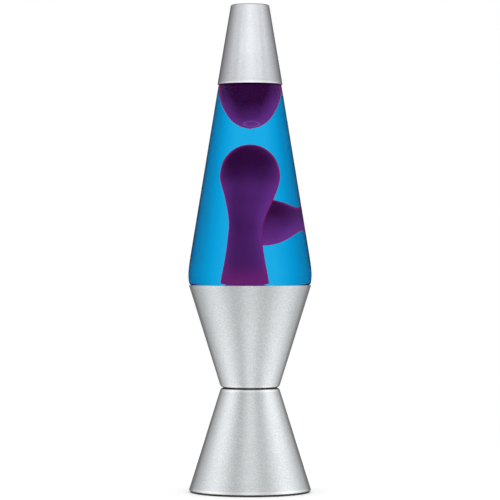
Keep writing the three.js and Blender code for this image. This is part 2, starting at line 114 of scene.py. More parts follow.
def spline(keys, count):
    """Points of a uniform Catmull-Rom curve through the keys."""
    made = []
    last = len(keys) - 1
    for i in range(count + 1):
        here = last * i / count
        k = min(int(here), last - 1)
        t = here - k
        p0, p1, p2, p3 = (keys[min(max(k + d, 0), last)] for d in (-1, 0, 1, 2))
        made.append(
            tuple(
                0.5
                * (
                    2 * b
                    + (c - a) * t
                    + (2 * a - 5 * b + 4 * c - d) * t**2
                    + (3 * b - a - 3 * c + d) * t**3
                )
                for a, b, c, d in zip(p0, p1, p2, p3)
            )
        )
    return made


def left_normal(p, q):
    way = (q[0] - p[0], q[1] - p[1])
    length = math.hypot(*way)
    return (-way[1] / length, way[0] / length)


def offset(outline, distance):
    """An open outline moved to the left of its run, with mitred corners. Steep free ends are cut level."""
    moved = []
    last = len(outline) - 1
    for i, here in enumerate(outline):
        on_axis = here[0] < ON_AXIS
        before = outline[i - 1] if i else None
        after = outline[i + 1] if i < last else None
        if before is None:
            before = (-after[0], after[1]) if on_axis else between(after, here, 2)
        if after is None:
            after = (-before[0], before[1]) if on_axis else between(before, here, 2)
        a = left_normal(before, here)
        b = left_normal(here, after)
        share = distance / (1 + a[0] * b[0] + a[1] * b[1])
        place = (here[0] + (a[0] + b[0]) * share, here[1] + (a[1] + b[1]) * share)
        way = (after[0] - before[0], after[1] - before[1])
        if i in (0, last) and not on_axis and abs(way[1]) > abs(way[0]):
            run = (here[1] - place[1]) / way[1]
            place = (place[0] + way[0] * run, here[1])
        moved.append(place)
    return moved


def wall_of(line, thickness):
    """The closed outline of a wall of even thickness, left of the given line."""
    return [*line, *reversed(offset(line, thickness))]


def soften(outline, radius):
    """Rounds the sharp corners of a closed outline with small arcs. Points on the axis stay."""
    made = []
    count = len(outline)
    for i, here in enumerate(outline):
        if here[0] < ON_AXIS:
            made.append(here)
            continue
        before = outline[i - 1]
        after = outline[(i + 1) % count]
        a = left_normal(before, here)
        b = left_normal(here, after)
        turn = math.acos(max(-1, min(1, a[0] * b[0] + a[1] * b[1])))
        if turn < SHARP_TURN:
            made.append(here)
            continue
        reach = min(
            radius * math.tan(turn / 2),
            ARC_SHARE * math.dist(before, here),
            ARC_SHARE * math.dist(here, after),
        )
        start = between(here, before, reach / math.dist(before, here))
        end = between(here, after, reach / math.dist(here, after))
        made.extend(draw(start, (*here, *end), steps=ARC_STEPS))
    return made


def dense(outline, longest):
    """Splits long stretches, so that shading stays even along them."""
    made = [outline[0]]
    for p, q in zip(outline, outline[1:]):
        count = max(1, math.ceil(math.dist(p, q) / longest))
        made.extend(between(p, q, i / count) for i in range(1, count + 1))
    return made


# ---- meshes ----

def mesh_object(name, vertices, faces):
    mesh = bpy.data.meshes.new(name)
    mesh.from_pydata([tuple(c * MM for c in v) for v in vertices], [], faces)
    tidy = bmesh.new()
    tidy.from_mesh(mesh)
    bmesh.ops.recalc_face_normals(tidy, faces=tidy.faces)
    tidy.to_mesh(mesh)
    tidy.free()
    mesh.shade_smooth()
    made = bpy.data.objects.new(name, mesh)
    bpy.context.scene.collection.objects.link(made)
    return made


def revolve(name, outline, segments, longest=5, radius_at=None):
    """Turns an outline about the axis. It runs from axis to axis, or is closed here.
    radius_at(radius, height, angle) changes the radius of single vertices."""
    closed = outline[0][0] > ON_AXIS
    ring = dense([*outline, outline[0]], longest)[:-1] if closed else dense(outline, longest)
    vertices = []
    rows = []
    for radius, height in ring:
        if radius < ON_AXIS:
            rows.append([len(vertices)] * segments)
            vertices.append((0, 0, height))
            continue
        rows.append(range(len(vertices), len(vertices) + segments))
        for k in range(segments):
            angle = 2 * math.pi * k / segments
            here = radius_at(radius, height, angle) if radius_at else radius
            vertices.append((here * math.cos(angle), here * math.sin(angle), height))
    faces = []
    pairs = list(zip(rows, rows[1:]))
    if closed:
        pairs.append((rows[-1], rows[0]))
    for low, high in pairs:
        for k in range(segments):
            after = (k + 1) % segments
            corners = [low[k], low[after], high[after], high[k]]
            faces.append([c for i, c in enumerate(corners) if c not in corners[:i]])
    return mesh_object(name, vertices, faces)


def tube(name, path, radius, sides=10):
    """A round wire along a path, closed at both ends."""
    path = [Vector(p) for p in path]
    vertices = []
    across = None
    for i, here in enumerate(path):
        way = (path[min(i + 1, len(path) - 1)] - path[max(i - 1, 0)]).normalized()
        if across is None:
            across = way.orthogonal().normalized()
        across = (across - way * across.dot(way)).normalized()
        other = way.cross(across)
        for k in range(sides):
            angle = 2 * math.pi * k / sides
            vertices.append(here + (across * math.cos(angle) + other * math.sin(angle)) * radius)
    faces = []
    for i in range(len(path) - 1):
        for k in range(sides):
            after = (k + 1) % sides
            low, high = i * sides, (i + 1) * sides
            faces.append((low + k, low + after, high + after, high + k))
    faces.append(tuple(range(sides)))
    faces.append(tuple(range(len(vertices) - sides, len(vertices))))
    return mesh_object(name, vertices, faces)


def fit(made, node):
    """Moves and scales a mesh onto a CAD node's box. A round piece takes its width in x both ways."""
    low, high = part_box(node)
    own = [v.co for v in made.data.vertices]
    own_low = Vector(min(c[i] for c in own) for i in range(3))
    own_high = Vector(max(c[i] for c in own) for i in range(3))
    scale = [(high[i] - low[i]) / (own_high[i] - own_low[i]) for i in range(3)]
    if abs(scale[0] / scale[1] - 1) < ROUND_WITHIN:
        scale[1] = scale[0]
    grow = Matrix.Diagonal((*scale, 1))
    centre, own_centre = (low + high) / 2, (own_low + own_high) / 2
    if abs(centre.y) < CENTRED_WITHIN * MM:
        centre.y = own_centre.y = 0
    made.data.transform(Matrix.Translation(centre) @ grow @ Matrix.Translation(-own_centre))


def stand_for(node, made, look, fitted=True):
    """The finished mesh takes a CAD node's place, body and finish."""
    if fitted:
        fit(made, node)
    made.data.materials.append(look)
    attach(made, frame["nodes"][node]["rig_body"])
    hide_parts(node)


def paint(node, look):
    """A CAD node that is shown as it is gets a finish."""
    shown = frame["nodes"][node]
    shown.data.materials.clear()
    shown.data.materials.append(look)


# ---- finishes ----

HEM_CORE, HEM_REACH = 0.3 * MM, 1.1 * MM
SEAM_CORE, SEAM_REACH = 0.35 * MM, 0.75 * MM
SEAM_SHADE_COLOUR = (0.02, 0.02, 0.02)
WHITE_LEVEL = 1.0


def rgba(value):
    """A grey level or an RGB colour, as a colour socket takes it."""
    return (*(value if isinstance(value, tuple) else (value,) * 3), 1)


class Nodes:
    """A node tree under construction."""

    def __init__(self, owner):
        owner.use_nodes = True
        self.tree = owner.node_tree
        self.tree.nodes.clear()

    def add(self, kind, inputs=None, **settings):
        """A shader node. Each input is a fixed value, or the socket that feeds it."""
        made = self.tree.nodes.new("ShaderNode" + kind)
        for key, value in settings.items():
            setattr(made, key, value)
        for key, value in (inputs or {}).items():
            if isinstance(value, bpy.types.NodeSocket):
                self.tree.links.new(value, made.inputs[key])
            else:
                made.inputs[key].default_value = value
        return made

    def ramp(self, factor, *stops):
        """Blends between (position, value) stops. A value is a grey level or an RGB colour."""
        made = self.add("ValToRGB", {"Fac": factor})
        elements = made.color_ramp.elements
        while len(elements) < len(stops):
            elements.new(0.5)
        for element, (position, value) in zip(elements, stops):
            element.position = position
            element.color = rgba(value)
        return made.outputs["Color"]

    def level(self, factor, low, high, start=0.3, end=0.7):
        """A number that goes from low to high while the factor goes from start to end."""
        inputs = {"Value": factor, "From Min": start, "From Max": end, "To Min": low, "To Max": high}
        return self.add("MapRange", inputs).outputs["Result"]

    def math(self, operation, a, b=0):
        return self.add("Math", {0: a, 1: b}, operation=operation).outputs[0]

    def mix(self, share, first, second, blend_type="MIX"):
        """Mixes two colours. Each is a socket, a grey level or an RGB colour."""
        first, second = (c if isinstance(c, bpy.types.NodeSocket) else rgba(c) for c in (first, second))
        return self.add("MixRGB", {0: share, 1: first, 2: second}, blend_type=blend_type).outputs[0]

    def times(self, first, second):
        return self.mix(1.0, first, second, blend_type="MULTIPLY")


class Look(Nodes):
    """A material under construction."""

    def __init__(self, name):
        self.material = bpy.data.materials.new(name)
        super().__init__(self.material)
        coordinates = self.add("TexCoord").outputs
        self.place = coordinates["Object"]
        self.normal = coordinates["Normal"]

    def height(self):
        return self.add("SeparateXYZ", {"Vector": self.place}).outputs["Z"]

    def slant(self):
        """0 where the surface faces the eye, and 1 where it is seen edge on."""
        return self.add("LayerWeight", {"Blend": 0.5}).outputs["Facing"]

    def away(self, value, middle):
        return self.math("ABSOLUTE", self.math("SUBTRACT", value, middle))

    def noise(self, scale, detail=3, stretch=None, roughness=0.55):
        """Noise from 0 to 1. The scale counts features per metre, and stretch scales each axis."""
        vector = self.place
        if stretch:
            vector = self.add("Mapping", {"Vector": vector, "Scale": stretch}).outputs[0]
        inputs = {"Vector": vector, "Scale": scale, "Detail": detail, "Roughness": roughness}
        return self.add("TexNoise", inputs).outputs["Fac"]

    def bump(self, height, strength, distance, under=None):
        inputs = {"Height": height, "Strength": strength, "Distance": distance}
        if under:
            inputs["Normal"] = under
        return self.add("Bump", inputs).outputs["Normal"]

    def done(self, inputs, clear=False):
        """Ends the material with one principled shader. A clear one casts no shadow."""
        shader = self.add("BsdfPrincipled", inputs).outputs[0]
        if clear:
            ray = self.add("LightPath").outputs["Is Shadow Ray"]
            bare = self.add("BsdfTransparent").outputs[0]
            shader = self.add("MixShader", {0: ray, 1: shader, 2: bare}).outputs[0]
        self.add("OutputMaterial", {"Surface": shader})
        return self.material


def spun_silver(name, dark, bright, edge, brushed, grained, hem_highlights, seam=None, shading_by_height=()):
    """Satin spun aluminium: fine turning lines round the axis under a silvery, slightly sparkling grain.
    Heights are in millimetres. Each hem is a height at which a painted highlight brightens the metal's
    colour, with the share of the highlight. The edge is a colour of painted shade where the metal is seen
    edge on. The seam is the height of the joint at the waist, which painted shade darkens, and the shading by
    height is (height, brightness) stops of painted light and shade."""
    look = Look(name)
    lines = look.noise(14, detail=4, stretch=(0.6, 0.6, 80), roughness=0.7)
    haze = look.noise(22, detail=4)
    grain = look.noise(1100, detail=2, roughness=0.7)
    height = look.height()
    streaks = look.ramp(lines, (0.3, 1 - brushed / 5), (0.7, 1.0))
    tint = look.times(look.ramp(grain, (0.3, dark), (0.7, bright)), streaks)
    # Painted light and shade: the colour brightens and dims by height.
    if shading_by_height:
        tint = look.times(tint, look.ramp(height, *((z * MM, value) for z, value in shading_by_height)))
    # Painted highlights: bright bands on the rounded rims.
    for hem, highlight_share in hem_highlights:
        near = look.level(look.away(height, hem * MM), highlight_share, 0, start=HEM_CORE, end=HEM_REACH)
        tint = look.mix(near, tint, WHITE_LEVEL)
    # Painted shade: the colour darkens to the edge colour where the metal is seen edge on.
    tint = look.mix(look.level(look.slant(), 0, 1, start=0.62, end=0.8), tint, edge)
    # Painted shade in the groove of the seam at the waist.
    if seam:
        near = look.level(look.away(height, seam * MM), 0.95, 0, start=SEAM_CORE, end=SEAM_REACH)
        tint = look.mix(near, tint, SEAM_SHADE_COLOUR)
    turned = look.bump(lines, strength=brushed, distance=0.0001)
    return look.done(
        {
            "Base Color": tint,
            "Metallic": 1,
            "Roughness": look.level(haze, 0.42, 0.5),
            "Anisotropic": 0.8,
            "Anisotropic Rotation": 0.25,
            "Tangent": look.add("Tangent", direction_type="RADIAL", axis="Z").outputs[0],
            "Normal": look.bump(grain, strength=grained, distance=0.0001, under=turned),
        }
    )


def bare_metal(name, dark, bright, rough, bump=0.15):
    """Drawn or pressed metal with a cloudy sheen and a fine grain."""
    look = Look(name)
    haze = look.noise(120, detail=4)
    grit = look.noise(900, detail=2)
    return look.done(
        {
            "Base Color": look.ramp(haze, (0.3, dark), (0.7, bright)),
            "Metallic": 1,
            "Roughness": look.level(haze, rough, rough + 0.12),
            "Normal": look.bump(grit, strength=bump, distance=0.00005),
        }
    )


def moulded(name, dark, bright, rough, grain=700, bump=0.2):
    """Moulded plastic, rubber or board with a faint mottle and a fine grain."""
    look = Look(name)
    mottle = look.noise(60, detail=4)
    grit = look.noise(grain, detail=3)
    return look.done(
        {
            "Base Color": look.ramp(mottle, (0.3, dark), (0.7, bright)),
            "Roughness": look.level(mottle, rough, rough + 0.1),
            "Normal": look.bump(grit, strength=bump, distance=0.0001),
        }
    )


def foam():
    """Dark open foam."""
    look = Look("pad_foam")
    cells = look.add("TexVoronoi", {"Vector": look.place, "Scale": 1800}).outputs["Distance"]
    return look.done(
        {
            "Base Color": look.ramp(cells, (0.1, (0.022, 0.017, 0.016)), (0.8, (0.055, 0.044, 0.04))),
            "Roughness": 0.92,
            "Normal": look.bump(cells, strength=0.5, distance=0.0002),
        }
    )


def clear_glass(name, tint, waves):
    """Blown glass, with faint waves left by its mould."""
    look = Look(name)
    ripple = look.noise(waves, detail=1)
    return look.done(
        {
            "Base Color": look.ramp(ripple, (0.2, tint), (0.8, (1, 1, 1))),
            "Roughness": 0,
            "IOR": 1.5,
            "Transmission Weight": 1,
            "Specular Tint": rgba(0.1),
            "Normal": look.bump(ripple, strength=0.08, distance=0.0004),
        },
        clear=True,
    )


def blue_liquid():
    """Clear blue liquid. Its back surface is painted deeper blue where it is seen at a slant, painted shade
    which rounds the globe's sides."""
    look = Look("blue_liquid")
    drift = look.noise(18, detail=2)
    tint = look.ramp(drift, (0.25, (0.01, 0.41, 0.79)), (0.75, (0.011, 0.42, 0.8)))
    # Painted shade: the back surface deeper blue where it is seen at a slant.
    slant_shade = look.ramp(
        look.slant(),
        (0.026, (0.0105, 0.42, 0.8)),
        (0.038, (0.0067, 0.36, 0.73)),
        (0.054, (0.001, 0.322, 0.677)),
        (0.075, (0.0002, 0.25, 0.565)),
        (0.1, (0.0001, 0.165, 0.41)),
        (0.127, (0.0001, 0.125, 0.325)),
        (0.146, (0.0001, 0.11, 0.29)),
        (0.19, (0.0005, 0.14, 0.4)),
        (0.3, (0.004, 0.36, 0.72)),
    )
    leaving = look.add("NewGeometry").outputs["Backfacing"]
    return look.done(
        {
            "Base Color": look.mix(leaving, tint, slant_shade),
            "Roughness": 0,
            "IOR": 1.333,
            "Transmission Weight": 1,
            "Specular Tint": rgba(0),
        },
        clear=True,
    )


# A painted highlight: the pale ring low on the top blob. In metres, the scale is one over its half width and
# half height, and the shift brings its centre to the origin.
RING_SCALE = (213, 0, 526)
RING_SHIFT = (-0.213, 0, -145.5)
RING_HIGHLIGHT_COLOUR = (1.9, 0.2, 0.45)
RIM_LIGHT_COLOUR = (1.9, 0.012, 0.15)
UNDERLIGHT_COLOUR = (1.47, 0.022, 0.163)


def purple_wax():
    """Dark wax with painted light glowing in it: painted light below, at its thin edges and on its right
    side, and painted shade on top. It is plain dark wax where it stands out of the liquid."""
    look = Look("purple_wax")
    height = look.height()
    facing = look.add("SeparateXYZ", {"Vector": look.normal}).outputs
    swirl = look.noise(45, detail=3)
    edge = look.slant()

    def at_height(low, high, start, end):
        """A number that goes from low to high between two heights in millimetres."""
        return look.level(height, low, high, start=start * MM, end=end * MM)

    # Painted shade on the tops of the blobs, and painted light on their undersides, thin edges and right
    # side.
    top_shade = look.level(facing["Z"], 0, 0.5, start=-0.3, end=0.35)
    top_shade = look.math("MULTIPLY", top_shade, at_height(0.2, 1, 190, 215))
    lit = look.math("SUBTRACT", look.level(facing["Z"], 0.3, 0, start=-0.8, end=-0.1), top_shade)
    lit = look.math("ADD", lit, look.level(edge, 0.38, 0.8, start=0.1, end=0.9))
    lit = look.math("ADD", lit, look.level(facing["X"], -0.08, 0.12, start=-1, end=1))
    lit = look.math("ADD", lit, look.level(swirl, -0.05, 0.05))
    # Painted shade: the middle of the top blob darker than its sides.
    middle = look.level(look.math("ABSOLUTE", facing["X"]), 0.5, 0.1, start=0.4, end=0.85)
    lit = look.math("SUBTRACT", lit, look.math("MULTIPLY", middle, at_height(0, 1, 274, 296)))
    painted_glow = look.ramp(
        lit,
        (0, (0.25, 0.003, 0.037)),
        (0.35, (0.6, 0.018, 0.123)),
        (0.62, (0.95, 0.031, 0.205)),
        (1, (1.3, 0.047, 0.28)),
    )
    # Painted light: the lowest wax glows magenta as if lit from below.
    painted_glow = look.mix(at_height(1, 0, 157, 171), painted_glow, UNDERLIGHT_COLOUR)
    # Painted rim light: magenta along the thin edges.
    painted_glow = look.mix(look.level(edge, 0, 0.8, start=0.55, end=0.75), painted_glow, RIM_LIGHT_COLOUR)
    # Painted shade under the cap's rim and just above the rim of the base.
    cap_rim_shade = at_height(1, 0.45, 305.6, 307)
    base_rim_shade = at_height(0.6, 1, 156.3, 158)
    painted_glow = look.times(painted_glow, look.math("MULTIPLY", cap_rim_shade, base_rim_shade))

    # Painted highlight: a pale ring low on the top blob.
    ring = look.add("Mapping", {"Vector": look.place, "Location": RING_SHIFT, "Scale": RING_SCALE}).outputs[0]
    ring = look.add("VectorMath", {0: ring}, operation="LENGTH").outputs["Value"]
    ring = look.level(look.away(ring, 1.0), 1, 0, start=0, end=0.2)
    painted_glow = look.mix(look.math("MULTIPLY", ring, 0.5), painted_glow, RING_HIGHLIGHT_COLOUR)

    in_air = at_height(0, 1, 314.9, 315.4)
    skin = look.ramp(swirl, (0.3, (0.12, 0.002, 0.015)), (0.7, (0.16, 0.003, 0.022)))
    return look.done(
        {
            "Base Color": look.mix(in_air, skin, (0.04, 0.008, 0.075)),
            "Roughness": 0.3,
            "Specular IOR Level": 0.0,
            "Emission Color": look.mix(in_air, painted_glow, (0.02, 0.004, 0.04)),
            "Emission Strength": 1.0,
            "Normal": look.bump(swirl, strength=0.1, distance=0.0005),
        }
    )


SILVER = spun_silver(
    "spun_silver",
    dark=(0.66, 0.69, 0.705),
    bright=(0.9, 0.93, 0.945),
    edge=(0.42, 0.44, 0.45),
    brushed=0.06,
    grained=0.25,
    hem_highlights=((2.6, 0.85), (77.0, 0.85), (80.1, 0.85)),
    seam=78.5,
    shading_by_height=((77.5, 1.0), (79.5, 1.055), (152.0, 0.91)),
)
CAP_SILVER = spun_silver(
    "cap_silver",
    dark=(0.43, 0.44, 0.462),
    bright=(0.53, 0.545, 0.57),
    edge=(0.25, 0.255, 0.265),
    brushed=0.3,
    grained=0.12,
    hem_highlights=((308.6, 0.3),),
)
GLASS = clear_glass("globe_glass", (0.985, 0.995, 0.995), 30)
LIQUID = blue_liquid()
WAX = purple_wax()
BRASS = bare_metal("brass", (0.62, 0.43, 0.15), (0.72, 0.52, 0.21), 0.28)
CROWN = bare_metal("crown_lacquer", (0.6, 0.5, 0.26), (0.7, 0.6, 0.34), 0.25)
STEEL = bare_metal("coil_steel", (0.42, 0.43, 0.44), (0.55, 0.56, 0.57), 0.3)
BULB_METAL = bare_metal("bulb_metal", (0.55, 0.56, 0.58), (0.68, 0.69, 0.7), 0.25)
SOLDER = bare_metal("solder", (0.45, 0.45, 0.44), (0.58, 0.58, 0.57), 0.4, bump=0.4)
WIRE_METAL = bare_metal("wire_metal", (0.3, 0.3, 0.31), (0.42, 0.42, 0.43), 0.35)
TUNGSTEN = bare_metal("tungsten", (0.12, 0.12, 0.125), (0.2, 0.2, 0.205), 0.45)
PHENOLIC = moulded("black_phenolic", (0.012, 0.011, 0.01), (0.022, 0.02, 0.018), 0.35)
FIBRE = moulded("red_fibre", (0.2, 0.045, 0.02), (0.28, 0.075, 0.035), 0.75, grain=1500, bump=0.5)
LINER = moulded("crown_liner", (0.74, 0.72, 0.64), (0.8, 0.79, 0.72), 0.5)
RED = moulded("red_insulation", (0.32, 0.02, 0.014), (0.4, 0.03, 0.02), 0.4)
WHITE = moulded("white_insulation", (0.66, 0.64, 0.58), (0.74, 0.72, 0.67), 0.4)
CRIMP = moulded("blue_crimp", (0.02, 0.08, 0.3), (0.03, 0.11, 0.38), 0.35)
RUBBER = moulded("black_rubber", (0.014, 0.014, 0.014), (0.026, 0.026, 0.026), 0.6)
COVER = moulded("black_cover", (0.012, 0.012, 0.013), (0.024, 0.024, 0.025), 0.5)
BLACK_GLASS = moulded("black_glass", (0.006, 0.005, 0.01), (0.014, 0.012, 0.02), 0.1, bump=0.08)
BULB_GLASS = clear_glass("bulb_glass", (0.98, 0.985, 0.98), 90)
FOAM = foam()


# ---- spun shells ----

def cone_line(rim_radius, rim_z, floor_z, slope, hole, bend):
    """The outer line of a spun cone, from its floor's hole (or the axis) round the bend to the rim."""
    corner = rim_radius - slope * abs(floor_z - rim_z)
    run = math.hypot(slope, 1)
    up = math.copysign(bend / run, rim_z - floor_z)
    start = (corner - bend, floor_z)
    end = (corner + slope * bend / run, floor_z + up)
    return draw((hole, floor_z), start, (corner, floor_z, *end), (rim_radius, rim_z))


def spun_shell(node, line, thickness, edge):
    outline = soften(wall_of(line, thickness), edge)
    return revolve(node + "_look", outline, segments=144, longest=4)


upper_line = cone_line(46.25, 156.2, floor_z=78.9, slope=BASE_SLOPE, hole=13.8, bend=2.2)
upper = spun_shell("upper_cone", upper_line, thickness=1.0, edge=0.45)
stand_for("upper_cone", upper, SILVER)

cap_line = cone_line(24.65, CAP_RIM_Z, floor_z=CAP_TOP_Z, slope=CAP_SLOPE, hole=0, bend=1.6)
cap = spun_shell("cap", cap_line, thickness=-0.6, edge=0.28)
stand_for("cap", cap, CAP_SILVER)

lower_line = cone_line(46.2, 1.3, floor_z=78.6, slope=BASE_SLOPE, hole=13.8, bend=2.2)
lower = spun_shell("lower_cone", lower_line, thickness=-1.0, edge=0.45)
stand_for("lower_cone", lower, SILVER)


# ---- cord outlet ----

DRILL_RADIUS = 5.6
DRILL_REACH = 7


def to_outlet(made):
    """Turns a piece made along Z to lie along the wall's normal at the cord outlet's box."""
    low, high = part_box("cord_grommet")
    tilt = math.atan(BASE_SLOPE)
    made.data.transform(Matrix.Rotation(tilt - math.pi / 2, 4, "X"))
    own = [v.co for v in made.data.vertices]
    centre = Vector((min(c[i] for c in own) + max(c[i] for c in own)) / 2 for i in range(3))
    made.data.transform(Matrix.Translation((low + high) / 2 - centre))


def cut_outlet(target):
    """Opens the cord outlet's hole in the wall."""
    side = [(0, -DRILL_REACH), (DRILL_RADIUS, -DRILL_REACH), (DRILL_RADIUS, DRILL_REACH), (0, DRILL_REACH)]
    drill = revolve("outlet_drill", side, segments=48, longest=20)
    to_outlet(drill)
    hole = target.modifiers.new("outlet", "BOOLEAN")
    hole.operation = "DIFFERENCE"
    hole.solver = "EXACT"
    hole.object = drill
    evaluated = target.evaluated_get(bpy.context.evaluated_depsgraph_get())
    opened = bpy.data.meshes.new_from_object(evaluated)
    target.modifiers.clear()
    target.data = opened
    bpy.data.objects.remove(drill)
    opened.shade_smooth()
    opened.set_sharp_from_angle(angle=SHARP_EDGE)


cut_outlet(lower)

grommet_outline = [
    (4.0, -3.75),
    (6.8, -3.75),
    (7.4, -3.15),
    (7.4, -2.15),
    (5.3, -2.15),
    (5.3, 0.4),
    (7.4, 0.4),
    (7.4, 1.4),
    (6.6, 2.2),
    (4.5, 2.2),
    (4.0, 1.7),
]
grommet = revolve("cord_grommet_look", soften(grommet_outline, 0.4), segments=64, longest=2)
to_outlet(grommet)
stand_for("cord_grommet", grommet, RUBBER)


# ---- globe, liquid, wax ----

def flank_radius(height):
    return 44.6 - GLASS_SLOPE * (height - 181.1)


def bottle_inner():
    """Inner line of the bottle from the mouth down to the middle of its floor."""
    inset = GLASS_WALL * math.hypot(1, GLASS_SLOPE)
    return draw(
        (9.6, 344),
        (8.5, 344, 8.5, 342.6),
        (8.5, 337),
        (8.5, 328, 17.4, 326, 19.1, 317),
        (flank_radius(300) - inset, 300),
        (flank_radius(184) - inset, 184),
        (44.2, 167, 44.2, 162, 42.2, 154),
        (39.2, 146.5),
        (37.8, 142.5, 34.5, INNER_FLOOR_Z),
        (0, INNER_FLOOR_Z),
        steps=16,
    )


def bottle_outer():
    """Outer line of the bottle from the middle of its pushed-up floor to the mouth."""
    return draw(
        (0, 140),
        (24, 140, 30, 138),
        (35, 138),
        (39.2, 138, 40.5, 142.7),
        (44.4, 155.2),
        (45.0, 157.1, 45.8, 156.7, 46.1, 157.8),
        (47.0, 163.0, 47.0, 166.5, 44.6, 181.1),
        (25.2, 299.2),
        (23.7, CAP_RIM_Z),
        (21.8, 318),
        (20.0, 327, 12.5, 330, 12.5, 336),
        (12.5, 338.6),
        (13.3, 339.6),
        (13.3, 342.6),
        (13.3, 344, 11.6, 344),
        steps=16,
    )


bottle = revolve("globe_glass_look", [*bottle_outer(), *bottle_inner()], segments=160, longest=3)
stand_for("globe_glass", bottle, GLASS)

# The liquid reaches a little into the glass, so that no film of air shows between them.
GLASS_OVERLAP = 0.08
wetted = [p for p in bottle_inner() if p[1] < LIQUID_LEVEL_Z - 1]
wetted = offset([(19.36, LIQUID_LEVEL_Z + 0.5), *wetted], GLASS_OVERLAP)
surface = draw((0, LIQUID_LEVEL_Z), (18.0, LIQUID_LEVEL_Z), (19.1, LIQUID_LEVEL_Z, *wetted[0]))
liquid = revolve("liquid_look", [*surface, *wetted[1:]], segments=160, longest=3)
stand_for("liquid", liquid, LIQUID, fitted=False)


def smooth_step(value, start, end):
    share = min(max((value - start) / (end - start), 0), 1)
    return share * share * (3 - 2 * share)


COLUMN_LEAN = -3.0


def lean_at(height):
    """Sideways lean of the wax column's thin waist."""
    foot, head = smooth_step(height, 143, 160), smooth_step(height, 188, 228)
    return COLUMN_LEAN * foot * (1 - head)


column_flank = spline(
    [
        (29.2, 144),
        (26, 147.4),
        (19.4, 151.4),
        (15.3, 156),
        (12.1, 169.8),
        (9.9, 190),
        (10.2, 203),
        (14, 219.8),
        (17, 233),
        (17, 241),
        (15, 249.3),
        (10.6, 256.1),
        (5.2, 259.9),
        (0, 261),
    ],
    count=78,
)
column = revolve("wax_column_look", [(0, 142.8), (28.4, 142.8), *column_flank], segments=96)
for vertex in column.data.vertices:
    vertex.co.x += lean_at(vertex.co.z / MM) * MM
stand_for("wax_column", column, WAX)

top_flank = spline(
    [
        (0, 272.7),
        (5.6, 274.6),
        (10.4, 278.8),
        (14.1, 285.6),
        (17, 294.7),
        (18, 303),
        (17.5, 311),
        (16.2, 315.4),
    ],
    count=42,
)
top_blob = revolve("wax_top_blob_look", [*top_flank, (13, 316.1), (0, 316.4)], segments=96)
stand_for("wax_top_blob", top_blob, WAX)

SIDE_BLOB_CENTRE = (6.4, 24.4, 201)
SIDE_BLOB_HALF = (15.6, 14.2, 17.8)
WAX_CLEARANCE = 0.35
BALL_STEPS = 40

ball_turns = [math.pi * i / BALL_STEPS for i in range(1, BALL_STEPS)]
ball = [(math.sin(turn), -math.cos(turn)) for turn in ball_turns]
side_blob = revolve("wax_side_blob_look", [(0, -1), *ball, (0, 1)], segments=80)
for vertex in side_blob.data.vertices:
    x, y, z = (c + half * v for c, half, v in zip(SIDE_BLOB_CENTRE, SIDE_BLOB_HALF, vertex.co / MM))
    limit = flank_radius(z) - GLASS_WALL * math.hypot(1, GLASS_SLOPE) - WAX_CLEARANCE
    shrink = min(1, limit / math.hypot(x, y))
    vertex.co = Vector((x * shrink, y * shrink, z)) * MM
stand_for("wax_side_blob", side_blob, WAX, fitted=False)

COIL_TURNS = 24
COIL_STEPS = 24
COIL_SPINE_RADIUS = 33.5
COIL_WIND_RADIUS = 2.6
COIL_Z = 145.9
COIL_OPEN_DEGREES = 4

coil_path = []
for i in range(COIL_TURNS * COIL_STEPS + 1):
    share = i / (COIL_TURNS * COIL_STEPS)
    around = math.radians(COIL_OPEN_DEGREES + (360 - 2 * COIL_OPEN_DEGREES) * share)
    turn = 2 * math.pi * COIL_TURNS * share
    reach = COIL_SPINE_RADIUS + COIL_WIND_RADIUS * math.cos(turn)
    lift = COIL_Z + COIL_WIND_RADIUS * math.sin(turn)
    coil_path.append((reach * math.cos(around), reach * math.sin(around), lift))
coil = tube("heating_coil_look", coil_path, radius=0.5)
stand_for("heating_coil", coil, STEEL)


# ---- crown closure ----

CROWN_TOP_Z = 346.1
FLUTES = 21
FLUTE_DEPTH = 0.034


def fluted(radius, height, angle):
    share = smooth_step(CROWN_TOP_Z - height, 1.5, 6)
    return radius * (1 + FLUTE_DEPTH * share * math.cos(FLUTES * angle))


crown_line = draw(
    (0, CROWN_TOP_Z),
    (12.4, CROWN_TOP_Z),
    (14.2, CROWN_TOP_Z, 14.5, CROWN_TOP_Z - 1.8),
    (14.9, CROWN_TOP_Z - 4.2),
    (15.5, CROWN_TOP_Z - 6.2),
)
crown_outline = soften(wall_of(crown_line, -0.45), 0.2)
crown = revolve("crown_look", crown_outline, segments=FLUTES * 8, longest=1, radius_at=fluted)
stand_for("crown_closure", crown, CROWN)
paint("crown_liner", LINER)


# ---- socket ----

NUT_LOBES = 16
NUT_LOBE_HEIGHT = 0.45
SHELL_SHEET = 0.3

body_outline = [
    (0, 52),
    (11.8, 52),
    (13.3, 53.5),
    (13.3, 73.7),
    (17.4, 74.3),
    (17.4, 77.3),
    (13.3, 77.3),
    (13.3, 85.6),
    (12.5, 86.4),
    (9.4, 86.4),
    (9.4, 57),
    (0, 57),
]
socket = revolve("socket_body_look", soften(body_outline, 0.35), segments=96, longest=3)
stand_for("socket_body", socket, PHENOLIC)

washer_outline = [(13.65, 80.2), (18.6, 80.2), (18.6, 81), (13.65, 81)]
washer = revolve("socket_washer_look", soften(washer_outline, 0.15), segments=96)
stand_for("socket_washer", washer, FIBRE)


def lobed(radius, height, angle):
    share = smooth_step(radius, 15, 16.4)
    return radius + NUT_LOBE_HEIGHT * share * math.cos(NUT_LOBES * angle)


nut_outline = [(13.65, 81.3), (16.8, 81.3), (16.8, 84.9), (13.65, 84.9)]
nut_outline = soften(nut_outline, 0.5)
nut = revolve("socket_ring_nut_look", nut_outline, segments=NUT_LOBES * 12, longest=1, radius_at=lobed)
stand_for("socket_ring_nut", nut, PHENOLIC)


